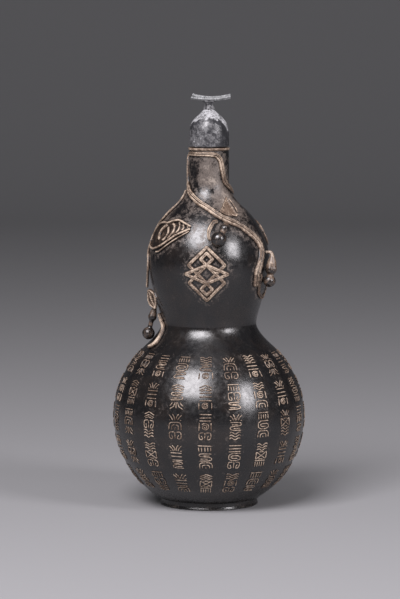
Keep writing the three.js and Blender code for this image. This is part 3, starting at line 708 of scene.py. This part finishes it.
def leaf(name, places, halves, rise, replaced, tone, veins=0, lean=0.0, strokes=(), rim=1.0):
    """A leaf along a route on the skin. halves are its half widths at shares of the way. It has
    a rolled edge, a midrib and slanting veins as far as rim says. lean lifts one edge off the
    skin, strokes are raised lines on it, as (places, width, rise), and tone is the patina
    between them."""
    axis_azimuth, axis_length = line_on_skin(places, 0.25)
    rows, columns = 61, 45
    t = np.linspace(0, 1, rows)
    at = np.linspace(0, 1, len(axis_azimuth))
    azimuth0, length0 = np.interp(t, at, axis_azimuth), np.interp(t, at, axis_length)
    right, up, size = sideways(azimuth0, length0)
    shares, widths = np.array(halves, float).T
    half = np.interp(t, shares, widths)
    smooth(half, 3)
    w = np.linspace(-1, 1, columns)
    offset = half[:, None] * w
    azimuth, length = azimuth0[:, None] + right * offset, length0[:, None] + up * offset
    inward = np.minimum((1 - np.abs(w)) * half[:, None],
                        np.minimum(t, 1 - t)[:, None] * size.sum() + 0.25)
    edge = hump(inward, 0.75, 0.4)
    rib = hump(offset, 0, 0.45) * rim
    slant = np.sin(2 * math.pi * veins * (t[:, None] - 0.28 * np.abs(w))) ** 8 * rim
    fall = np.clip(inward / 0.35, 0, 1) ** 0.5
    lift = rise * (0.36 + 0.64 * edge + 0.5 * rib + 0.3 * slant * (1 - edge)) * fall
    leaning = 0.5 * lean * (1 + offset / widths.max())
    top = skin(azimuth, length, lift + leaning)
    bottom = skin(azimuth, length, UNDERSIDE + 0.97 * leaning)
    index = np.arange(rows * columns).reshape(rows, columns)
    faces = grid(rows, columns, around=False)
    faces += [(a + index.size, d + index.size, c + index.size, b + index.size)
              for a, b, c, d in faces]
    border = np.concatenate([index[:, 0], index[-1, 1:], index[-2::-1, -1], index[0, -2:0:-1]])
    below = border + index.size
    faces += zip(np.roll(border, -1), border, below, np.roll(below, -1))
    shade = tone + (0.95 - tone) * np.clip(edge * rim + 0.8 * rib + 0.6 * slant, 0, 1)
    shade = np.clip(shade - 0.3 * (inward < 0.25), 0, 1)
    solid = Solid()
    solid.add(np.concatenate([top.reshape(-1, 3), bottom.reshape(-1, 3)]), faces,
              np.concatenate([shade.reshape(-1), np.full(index.size, HIDDEN_PATINA)]))
    leave_trail(azimuth, length)
    for places, width, stroke_rise in strokes:
        line_azimuth, line_length = line_on_skin(places, 0.4)
        worn = STROKE_PATINA + 0.1 * np.sin(0.9 * line_length)[:, None]
        sweep(solid, line_azimuth, line_length, STROKE, worn, width, stroke_rise, base=0.3 * rise)
    solid.make(name, *RELIEF, [replaced])


IVY = [(29.8, 2.88), (35, 3.01), (44.2, 3.43)]
IVY_HALVES = [(0, 1.2), (0.06, 4.6), (0.16, 5.6), (0.3, 4.4), (0.42, 3.6), (0.6, 2.7), (0.8, 1.4),
              (1, 0.2)]
IVY_STROKES = [
    ([(51, 3.33), (52.5, 3.2), (51.5, 3.06), (47.5, 2.93)], 0.9, 0.5),
    ([(46.5, 2.9), (40.5, 2.87), (35.5, 2.9)], 1.1, 0.6),
    ([(22, 2.99), (27, 3.07), (31, 3.2)], 0.7, 0.3)]
SCROLL = [(-79, 2.38), (-69, 2.45), (-55.8, 2.54), (-39.7, 2.62), (-18.6, 2.68)]
SCROLL_HALVES = [(0, 2.2), (0.05, 5.2), (0.15, 7.2), (0.3, 7.4), (0.5, 6.2), (0.7, 4.3),
                 (0.87, 2.3), (1, 0.2)]
SCROLL_STROKES = [
    # the outer contour, from the tip round the far end and back
    ([(-19, 2.69), (-28.7, 2.75), (-38, 2.79), (-47.3, 2.77), (-56, 2.73), (-66, 2.73),
      (-77, 2.68), (-84, 2.58), (-86, 2.45), (-83, 2.34), (-76, 2.28), (-67, 2.26), (-59, 2.29),
      (-51, 2.35), (-42, 2.45), (-35, 2.53), (-27.5, 2.59), (-19, 2.65)], 1.5, 1.0),
    # a thinner line below it
    ([(-60, 2.21), (-53.3, 2.24), (-41, 2.39), (-30.1, 2.51), (-20, 2.61)], 0.9, 0.6),
    # the left half of the eye
    ([(-58.2, 2.43), (-61.5, 2.52), (-60.9, 2.6), (-57.5, 2.66), (-53, 2.69)], 2.4, 1.0),
    # the drop inside it
    ([(-50.3, 2.67), (-47.6, 2.61), (-46.7, 2.54), (-49.5, 2.45), (-53, 2.43)], 1.7, 1.0),
    # the crescent beside it
    ([(-46.5, 2.73), (-41.5, 2.7), (-39.5, 2.63), (-41, 2.55), (-45, 2.46)], 1.7, 0.9),
    # lumps towards the tip
    ([(-36, 2.76), (-33.5, 2.7), (-33.3, 2.63), (-35.5, 2.57)], 1.1, 0.8),
    ([(-29.5, 2.72), (-27.5, 2.67), (-29, 2.62)], 1.3, 0.6),
    ([(-24, 2.7), (-22, 2.67)], 1.2, 0.5)]
SIDE_LEAF = [(-84, 1.56), (-79, 1.45), (-71, 1.28)]
SIDE_HALVES = [(0, 0.6), (0.12, 2.2), (0.35, 3.6), (0.6, 3.7), (0.85, 2.0), (1, 0.4)]
LEFT_LEAF_LEAN = 4.4


def build_leaves():
    def turned(strokes):
        return [(half_turn(places), width, rise) for places, width, rise in strokes]

    ivy = dict(halves=IVY_HALVES, rise=0.9, veins=3, rim=0.35, tone=0.5)
    leaf("front_leaf", IVY, replaced="leaf_front", strokes=IVY_STROKES, **ivy)
    leaf("back_leaf", half_turn(IVY), replaced="leaf_back", strokes=turned(IVY_STROKES), **ivy)
    scroll = dict(halves=SCROLL_HALVES, rise=0.8, rim=0, tone=0.1)
    leaf("left_scroll_leaf", SCROLL, replaced="scroll_leaf_left", strokes=SCROLL_STROKES, **scroll)
    leaf("right_scroll_leaf", half_turn(SCROLL), replaced="scroll_leaf_right",
         strokes=turned(SCROLL_STROKES), **scroll)
    leaf("left_leaf", SIDE_LEAF, SIDE_HALVES, 1.0, "leaf_left", 0.15, 5, LEFT_LEAF_LEAN)


EMBLEM_SIZE = 30.5
EMBLEM_DROP = 4.6
# Each lozenge's middle, half width and half height, as shares of the size, and how much thicker
# it is, so that it laps
EMBLEM_LOZENGES = [(0.167, 0.34, 0.333, 0), (-0.167, 0.34, 0.333, 0), (0, 0.4, 0.17, 0.3),
                   (0.28, 0.11, 0.11, 0.15), (-0.28, 0.11, 0.11, 0.15)]
EMBLEM_PROFILE = both_halves((-1.15, UNDERSIDE), (-1.1, 0.45), (-0.85, 0.8), (-0.45, 0.98),
                             (0, 1.03))
EMBLEM_PATINA = np.array([0, 0.1, 0.5, 0.85, 0.6, 0.9, 0.5, 0.1, 0])


def build_emblem(name, turn, replaced):
    """A knot of linked lozenges."""
    solid = Solid()
    for y, half_width, half_height, layer in EMBLEM_LOZENGES:
        corners = EMBLEM_SIZE * np.array([(half_width, y), (0, y + half_height),
                                          (-half_width, y), (0, y - half_height)])
        line = []
        for a, b in zip(corners, np.roll(corners, -1, 0)):
            count = int(np.hypot(*(b - a)) / LINE_STEP)
            line.append(a + (b - a) * np.linspace(0, 1, count, endpoint=False)[:, None])
        line = soften(np.concatenate(line), closed=True)
        azimuth = math.radians(turn) + line[:, 0] / UPPER_RADIUS
        length = length_at(UPPER_LEVEL - EMBLEM_DROP + line[:, 1])
        sweep(solid, azimuth, length, EMBLEM_PROFILE, EMBLEM_PATINA, endless=True, base=layer)
    solid.make(name, *RELIEF, [replaced])


# The small gourds, each a run of rings along a bent spine

STEM_RADIUS = 0.75
# Radius of the belly, radius of the head and length of the cone over the head
FRONT_GOURD, RIGHT_GOURD, LEFT_GOURD = (4.5, 2.8, 3.1), (3.6, 3.4, 8), (3.7, 2.5, 5.6)
GOURD_GAP = 0.1
GOURD_SIDES = 32
LEFT_CLEARANCE = 3.9
HEAD_LEAN = 1  # how much farther off the skin a hanging gourd's head is than its belly


def gourd_radii(at, sizes, head_at):
    """The radius at distances from the tip: belly, neck, head, cone and stem."""
    belly_radius, head_radius, cone_length = sizes
    ball = np.sqrt(np.clip(belly_radius ** 2 - (at - belly_radius) ** 2, 0, None))
    small = np.sqrt(np.clip(head_radius ** 2 - (at - head_at) ** 2, 0, None))
    neck = np.where((at > belly_radius) & (at < head_at), 0.52 * head_radius, 0)
    cone = np.interp(at, [head_at, head_at + 0.5 * cone_length, head_at + cone_length, at[-1]],
                     [0.96 * head_radius, 0.78 * head_radius, 1.5 * STEM_RADIUS, STEM_RADIUS])
    radius = np.maximum.reduce([ball, small, neck, np.where(at > head_at, cone, 0.3)])
    smooth(radius, 4)
    return radius


def gourd(name, sizes, places, replaced, tone, worn, clear=None):
    """A gourd, by the places of its belly, its head and its stem's root. It lies on the skin, or
    with clear hangs that far off it. tone is the patina value all over and worn how much more is
    on the cone."""
    belly_radius, head_radius, cone_length = sizes
    lifts = [belly_radius + GOURD_GAP, head_radius + GOURD_GAP, STEM_RADIUS]
    if clear is not None:
        lifts[:2] = clear, clear + HEAD_LEAN
    belly, head, root = [spot(*place, lift) for place, lift in zip(places, lifts)]
    spacing = np.linalg.norm(head - belly)
    along = (head - belly) / spacing
    line = spline([belly - along * belly_radius, belly, head + along * cone_length, root], 0.3)
    at = np.linspace(0, distances(line)[-1], len(line))
    head_at = belly_radius + spacing
    radius = gourd_radii(at, sizes, head_at)
    ahead = unit(np.gradient(line, axis=0))
    side = unit(np.cross(unit(line * (1, 1, 0)), ahead))
    front = np.cross(side, ahead)
    turn = circle(GOURD_SIDES)
    lobes = 1 + 0.06 * hump(at, head_at + 1, 2.5)[:, None] * np.cos(5 * turn)
    size = radius[:, None] * lobes
    rings = (line[:, None] + side[:, None] * (size * np.cos(turn))[..., None]
             - front[:, None] * (size * np.sin(turn))[..., None])
    neck_at = belly_radius + spacing * belly_radius / (belly_radius + head_radius)
    patina = (tone + 0.4 * hump(at, neck_at, 0.8)
              + np.interp(at, [head_at + 0.5, head_at + 2.5, at[-1]], [0.0, worn, 0.5]))
    solid = Solid()
    solid.add_rings(rings, patina[:, None])
    solid.make(name, "vessel", gourd_bronze, "worn_bronze", [replaced])


def build_gourds():
    front = [(10.9, 2.44), (18.2, 2.63), (21.8, 2.75)]
    gourd("front_gourd", FRONT_GOURD, front, "gourd_front", 0.16, 0.25)
    gourd("back_gourd", FRONT_GOURD, half_turn(front), "gourd_back", 0.16, 0.25)
    gourd("right_gourd", RIGHT_GOURD, [(70.2, 1.73), (70.5, 1.91), (71, 2.2)], "gourd_right", 0.3,
          0.35)
    gourd("left_gourd", LEFT_GOURD, [(-86, 0.84), (-86, 1.13), (-97, 1.36)], "gourd_left", 0.2,
          0.3, LEFT_CLEARANCE)


# The vessel's skin, foot and mouth

BULB_STEP = 0.8  # between the points up a bulb's outer side
INNER_ROWS = 30
# Patina by the distance from ornament, in millimetres: a close rim and a wider haze
RIM_REACH, RIM_PATINA = [0.35, 1.1, 2, 3], [0, 0.34, 0.2, 0]
HAZE_REACH, HAZE_PATINA = [0.7, 1.8, 3.5, 7], [0, 0.4, 0.22, 0]
LOWER_RIM = 0.35  # the share of the rim's patina round the marks of the lower bulb


def bulb_patina(turn, level, far):
    """Patina of a bulb's points, whose distance from the nearest ornament is far. It also lies
    thick on the right of the shoulder and in patches on the neck, a weaker rise makes the left of
    the shoulder paler, and the front of the neck is made pale as a painted highlight. The back
    repeats the front."""
    upper = level > WAIST_LEVEL
    rim = np.interp(far, RIM_REACH, RIM_PATINA) * np.where(upper, 1, LOWER_RIM)
    haze = (np.interp(far, HAZE_REACH, HAZE_PATINA) * upper
            * np.interp(level, [UPPER_LEVEL - 4, UPPER_LEVEL + 14], [0.3, 1]))
    side = np.mod(np.degrees(turn) + 90, 180) - 90
    right = 0.82 * hump(side, 43, 32) * hump(level, SHOULDER_LEVEL + 5, 11)
    # A weaker rise that makes the left of the shoulder paler
    left = 0.32 * hump(side, -25, 22) * hump(level, SHOULDER_LEVEL + 2, 9)
    patches = 0.16 * np.sin(5 * turn + 0.35 * level) * np.sin(0.5 * level - 3 * turn)
    # Painted highlight: the front of the neck is made pale, most near the neck's start, standing in
    # for a lamp's bright reflection there
    painted_highlight = (0.46 + 0.22 * hump(level, NECK_LEVEL, 6)) * hump(side, 4, 34)
    neck = np.clip((level - NECK_LEVEL + 8) / 8, 0, 1) * (0.12 + painted_highlight + patches)
    return np.maximum.reduce([rim, haze, right, left, neck])


def bulb(name, low, high, segments, replaced):
    """A bulb's wall, uneven and patinated on its outer side."""
    start, end = length_at(low), length_at(high)
    heights = height_at(np.linspace(start, end, int((end - start) / BULB_STEP) + 2))
    outer = np.stack([radius_at(heights), heights], 1)
    inside = np.linspace(high, low, INNER_ROWS)
    inner = np.stack([np.maximum(radius_at(inside) - WALL, BORE), inside], 1)
    rows = len(outer)
    tree = kdtree.KDTree(sum(len(t) for t in trails))
    for i, point in enumerate(np.concatenate(trails)):
        tree.insert(point, i)
    tree.balance()

    def shape(points, azimuth, radius, height):
        points[:, :rows] = skin(azimuth[:, :rows], length_at(height[:, :rows]), 0)

    def patina(azimuth, radius, height):
        values = np.full(radius.shape, HIDDEN_PATINA)
        turn, level = azimuth[:, :rows], height[:, :rows]
        surface = skin(turn, length_at(level), 0)
        far = np.array([[tree.find(point)[2] for point in column] for column in surface])
        values[:, :rows] = bulb_patina(turn, level, far)
        return values

    lathe(name, [outer, [outer[-1], inner[0]], inner, [inner[-1], outer[0]]], segments, *DARK,
          [replaced], shape, patina)


def rounded(corners, radius, steps=5, closed=True):
    """A profile with its corners rounded, as one run of points. An open one keeps its ends."""
    p = np.asarray(corners, float)
    made = []
    for before, corner, after in zip(np.roll(p, 1, 0), p, np.roll(p, -1, 0)):
        to_before, to_after = before - corner, after - corner
        reach = min(radius, 0.45 * np.hypot(*to_before), 0.45 * np.hypot(*to_after))
        a, b = corner + unit(to_before) * reach, corner + unit(to_after) * reach
        for t in np.linspace(0, 1, steps):
            made.append((1 - t) ** 2 * a + 2 * t * (1 - t) * corner + t ** 2 * b)
    if not closed:
        made = [p[0]] + made[steps:-steps] + [p[-1]]
    return np.array(made)


def build_vessel():
    bulb("lower_bulb_skin", FOOT_HEIGHT, WAIST_LEVEL, 480, "lower_bulb")
    bulb("upper_bulb_skin", WAIST_LEVEL, LIP_BOTTOM, 384, "upper_bulb")
    inner = FOOT_RADIUS - FOOT_WALL
    spread = FOOT_RADIUS + FOOT_BEAD
    foot = rounded([(inner, 0), (spread, 0), (spread, 0.8), (FOOT_RADIUS, 1.5),
                    (FOOT_RADIUS, FOOT_HEIGHT + 0.6), (inner, FOOT_HEIGHT + 0.6)], 0.5)
    lathe("foot_ring_rim", [foot], 192, *DARK, ["foot_ring"],
          patina=lambda azimuth, radius, height: 0.12 * (height < 2))
    floor = FOOT_HEIGHT - BASE_PLATE_THICKNESS
    plate = rounded([(0.5, floor), (inner, floor), (inner, FOOT_HEIGHT), (0.5, FOOT_HEIGHT)],
                    0.3, 3, closed=False)
    lathe("base_disc", [plate], 96, "vessel", inner_bronze, "worn_bronze", ["base_plate"],
          poles=True)
    lip = rounded([(BORE, LIP_BOTTOM + 0.25), (NECK_RADIUS - 0.4, LIP_BOTTOM + 0.25),
                   (LIP_RADIUS, LIP_BOTTOM + 0.35), (LIP_RADIUS, MOUTH_LEVEL - 0.05),
                   (BORE, MOUTH_LEVEL - 0.05)], 0.4)
    lathe("mouth_lip", [lip], 128, *RELIEF, ["mouth_ring"],
          patina=lambda azimuth, radius, height: 0.6 * (radius > NECK_RADIUS) + 0.1)


# The lid

SEAT = MOUTH_LEVEL + FIT_GAP
APEX = SEAT + DOME_HEIGHT
STALK_TOP = APEX + FIT_GAP + STALK_HEIGHT
PLUG_RADIUS = BORE - PLUG_CLEARANCE
# The crust's lower edge, as a share of the dome's height at azimuths in degrees
CRUST_TURNS = [-180, -120, -85, -55, 0, 45, 62, 76, 95, 120, 180]
CRUST_EDGE = [0.62, 0.7, 0.56, 0.7, 0.76, 0.72, 0.56, 0.42, 0.5, 0.72, 0.62]


def build_dome():
    """A lumpy round dome with a cone on its shoulder, crust about the cone and specks on its
    left side."""
    cone_bottom = APEX - DOME_CONE_HEIGHT
    skirt = np.array([(DOME_RADIUS - 1.0, SEAT), (DOME_RADIUS - 0.35, SEAT + 0.25),
                      (DOME_RADIUS, SEAT + 0.9)])
    wall = np.stack([np.full(14, DOME_RADIUS), np.linspace(SEAT + 0.9, SEAT + DOME_SKIRT, 14)], 1)
    side = bezier((DOME_RADIUS, SEAT + DOME_SKIRT), (DOME_RADIUS, SEAT + DOME_SKIRT + 4),
                  (DOME_CONE_RADIUS + 1.6, cone_bottom - 1.7), (DOME_CONE_RADIUS, cone_bottom), 40)
    cone = bezier((DOME_CONE_RADIUS, cone_bottom), (6.4, APEX - 3.1), (3.8, APEX - 1.6),
                  (STALK_RADIUS + 0.2, APEX + 0.3), 24)
    hole = RIVET_RADIUS + FIT_GAP
    socket = PLUG_RADIUS + FIT_GAP
    hollow = np.array([(hole, APEX + 0.3), (hole, APEX - DOME_CROWN), (5.4, APEX - 6),
                       (socket - 0.6, SEAT + 10), (socket, SEAT + PLUG_SOCKET), (socket, SEAT)])
    outer = np.concatenate([skirt, wall[1:], side[1:], cone[1:]])
    rows = len(outer)

    def shape(points, azimuth, radius, height):
        lumps = (np.sin(4 * azimuth + 0.5 * height) * np.sin(0.7 * height + azimuth)
                 + 0.5 * np.sin(9 * azimuth - 0.8 * height) * np.cos(1.1 * height)
                 + 0.35 * np.sin(17 * azimuth + 1.7 * height))
        grow = 1 + 0.08 * lumps / np.maximum(radius, 4)
        points[:, :rows, :2] *= grow[:, :rows, None]

    def patina(azimuth, radius, height):
        up = (height - SEAT) / DOME_HEIGHT
        turn = np.mod(np.degrees(azimuth) + 180, 360) - 180
        edge = np.interp(turn, CRUST_TURNS, CRUST_EDGE)
        edge = edge + 0.02 * np.sin(9 * azimuth) + 0.015 * np.sin(17 * azimuth + 1)
        crust = 0.92 * np.clip((up - edge) / 0.04 + 0.5, 0, 1)
        left = np.clip(np.cos(azimuth + 0.7), 0, 1)
        specks = 0.5 * left * np.interp(up, [0, 0.35, 0.48, 0.6], [1, 1, 0.45, 0.3])
        return np.maximum(crust, specks)

    lathe("lid_dome_shell", [outer, [outer[-1], hollow[0]], hollow], 160, *LID, ["lid_dome"],
          shape, patina)


def build_plug():
    low, high = MOUTH_LEVEL - PLUG_DEPTH, SEAT + PLUG_SOCKET
    plug = rounded([(PLUG_RADIUS - PLUG_WALL, low), (PLUG_RADIUS, low), (PLUG_RADIUS, high),
                    (PLUG_RADIUS - PLUG_WALL, high)], 0.5)
    lathe("lid_plug_tube", [plug], 96, "lid", inner_bronze, "worn_bronze", ["lid_plug"])


def build_stalk():
    """A twisted stem with a rivet below it and a flare under the bar."""
    stalk = spline([(0.6, APEX - 4.4), (RIVET_RADIUS, APEX - 4.2), (RIVET_RADIUS, APEX - 0.8),
                    (STALK_RADIUS + 0.7, APEX + 0.1), (STALK_RADIUS + 0.15, APEX + 1.4),
                    (STALK_RADIUS - 0.05, APEX + 2.6), (STALK_RADIUS + 0.3, STALK_TOP - 1),
                    (STALK_RADIUS + STALK_FLARE, STALK_TOP - 0.1),
                    (STALK_RADIUS, STALK_TOP + 0.5), (0.6, STALK_TOP + 0.6)], 0.2)

    def ribs(points, azimuth, radius, height):
        twist = np.sin(5 * azimuth + 0.5 * height)
        points[..., :2] *= (1 + 0.08 * twist * (height > APEX))[..., None]

    lathe("lid_stalk_stem", [stalk], 64, *LID, ["lid_stalk"], ribs,
          lambda azimuth, radius, height: 0.35 + 0.2 * np.sin(5 * azimuth + 0.5 * height),
          poles=True)


BAR_ROWS, BAR_SIDES = 91, 48


def boxy(wave):
    """Swells the sides of a circle towards a square."""
    return np.sign(wave) * np.abs(wave) ** 0.7


def build_bar():
    """The cross bar: a short length of vine with ribs along it and cut, upturned ends."""
    seat = STALK_TOP + 0.2
    s, a = np.meshgrid(np.linspace(-1, 1, BAR_ROWS), circle(BAR_SIDES), indexing="ij")
    middle = seat + 0.5 * BAR_HEIGHT + BAR_SAG * s ** 2
    swell = 1 + np.where(s < 0, 0.42, 0.12) * s ** 4 + 0.03 * np.sin(9 * s)
    blunt = np.sqrt(np.clip(1 - np.clip((np.abs(s) - 0.97) / 0.03, 0, 1) ** 2, 0.35, 1))
    ribs = 1 + 0.07 * np.sin(8 * a + 1.1 * s) + 0.03 * np.sin(17 * a - 2.0 * s)
    size = swell * ribs * blunt
    rise = 0.5 * BAR_HEIGHT * size * boxy(np.sin(a))
    slant = 0.45 * np.clip(-s, 0, None) ** 6
    rings = np.stack([BAR_SHIFT + 0.5 * BAR_LENGTH * s + slant * rise,
                      0.5 * BAR_DEPTH * size * boxy(np.cos(a)), middle + rise], -1)
    pale = 0.55 + 0.35 * np.sin(8 * a + 1.1 * s)
    solid = Solid()
    solid.add_rings(rings[:, ::-1], pale[:, ::-1])
    solid.make("lid_bar_vine", "lid", bar_bronze, "pale_metal", ["lid_bar"])


# The stage, the light and the camera

# The camera, in millimetres
CAMERA_AZIMUTH = math.radians(2.4)
CAMERA_AWAY = 1700
CAMERA_HEIGHT = 290
AIM_HEIGHT = 119.2
AIM_SIDE = -5.22
CAMERA_FOCAL = 177
SENSOR_WIDTH = 36

# The floor and the backdrop behind it, in metres
FLOOR_FRONT = 4.0
FLOOR_BACK = 2.2
FLOOR_HALF_WIDTH = 6.0
SWEEP_RADIUS = 1.6
BACKDROP_HEIGHT = 5.0
FLOOR_COLOUR = (0.34, 0.34, 0.35, 1)
FLOOR_ROUGHNESS = 0.7

WORLD_COLOUR = (0.9, 0.9, 0.93, 1)
WORLD_STRENGTH = 0.13
LAMP_COLOUR = (1.0, 0.965, 1.0)
LAMP_AIM = Vector((0, 0, 0.11))
# Name, azimuth and elevation in degrees, distance, width and height in metres, and watts
LAMPS = [("left_box", -24, 45, 1.5, 0.84, 0.8, 28),
         ("right_box", 53, 25, 1.5, 0.42, 0.62, 11.5),
         ("top_box", 10, 80, 1.6, 0.9, 0.9, 1)]


def lamp(name, azimuth, elevation, away, width, height, watts):
    """A soft box that faces the bottle."""
    light = bpy.data.lights.new(name, "AREA")
    light.shape, light.size, light.size_y, light.energy = "RECTANGLE", width, height, watts
    light.color = LAMP_COLOUR
    made = link(name, light)
    azimuth, elevation = math.radians(azimuth), math.radians(elevation)
    towards = Vector((math.sin(azimuth) * math.cos(elevation),
                      -math.cos(azimuth) * math.cos(elevation), math.sin(elevation)))
    made.location = LAMP_AIM + towards * away
    made.rotation_euler = towards.to_track_quat("Z", "Y").to_euler()


def build_floor():
    """A floor that sweeps up into a backdrop."""
    paint, shader = new_material("floor_paint")
    shader.inputs["Base Color"].default_value = FLOOR_COLOUR
    shader.inputs["Roughness"].default_value = FLOOR_ROUGHNESS
    turn = np.linspace(0, 0.5 * math.pi, 25)
    sweep_y = FLOOR_BACK + SWEEP_RADIUS * np.sin(turn)
    sweep_z = SWEEP_RADIUS * (1 - np.cos(turn))
    section = [(-FLOOR_FRONT, 0), *zip(sweep_y, sweep_z), (sweep_y[-1], BACKDROP_HEIGHT)]
    points = [(x, y, z) for y, z in section for x in (-FLOOR_HALF_WIDTH, FLOOR_HALF_WIDTH)]
    faces = [(i, i + 1, i + 3, i + 2) for i in range(0, len(points) - 2, 2)]
    floor = link("floor", new_mesh("floor", points, faces, paint))


def build_light():
    world = bpy.data.worlds.new("studio")
    bpy.context.scene.world = world
    world.use_nodes = True
    back = world.node_tree.nodes["Background"]
    back.inputs["Color"].default_value = WORLD_COLOUR
    back.inputs["Strength"].default_value = WORLD_STRENGTH
    for values in LAMPS:
        lamp(*values)
    bpy.context.scene.view_settings.view_transform = "Standard"


def build_camera():
    side = Vector((math.cos(CAMERA_AZIMUTH), math.sin(CAMERA_AZIMUTH), 0)) * AIM_SIDE
    away = Vector((math.sin(CAMERA_AZIMUTH), -math.cos(CAMERA_AZIMUTH), 0)) * CAMERA_AWAY
    place = side + away + Vector((0, 0, CAMERA_HEIGHT))
    aim = side + Vector((0, 0, AIM_HEIGHT))
    data = bpy.data.cameras.new("camera")
    data.lens = CAMERA_FOCAL
    data.sensor_width = SENSOR_WIDTH
    data.sensor_fit = "AUTO"
    camera = link("camera", data)
    camera.location = place * MM
    camera.rotation_euler = (place - aim).to_track_quat("Z", "Y").to_euler()
    bpy.context.scene.camera = camera


build_camera()
build_marks()
build_vines()
build_leaves()
build_emblem("front_emblem", 0, "emblem_front")
build_emblem("back_emblem", 180, "emblem_back")
build_gourds()
build_vessel()
build_dome()
build_plug()
build_stalk()
build_bar()
build_floor()
build_light()
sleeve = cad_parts["waist_sleeve"]
sleeve.data.materials.clear()
sleeve.data.materials.append(inner_bronze)
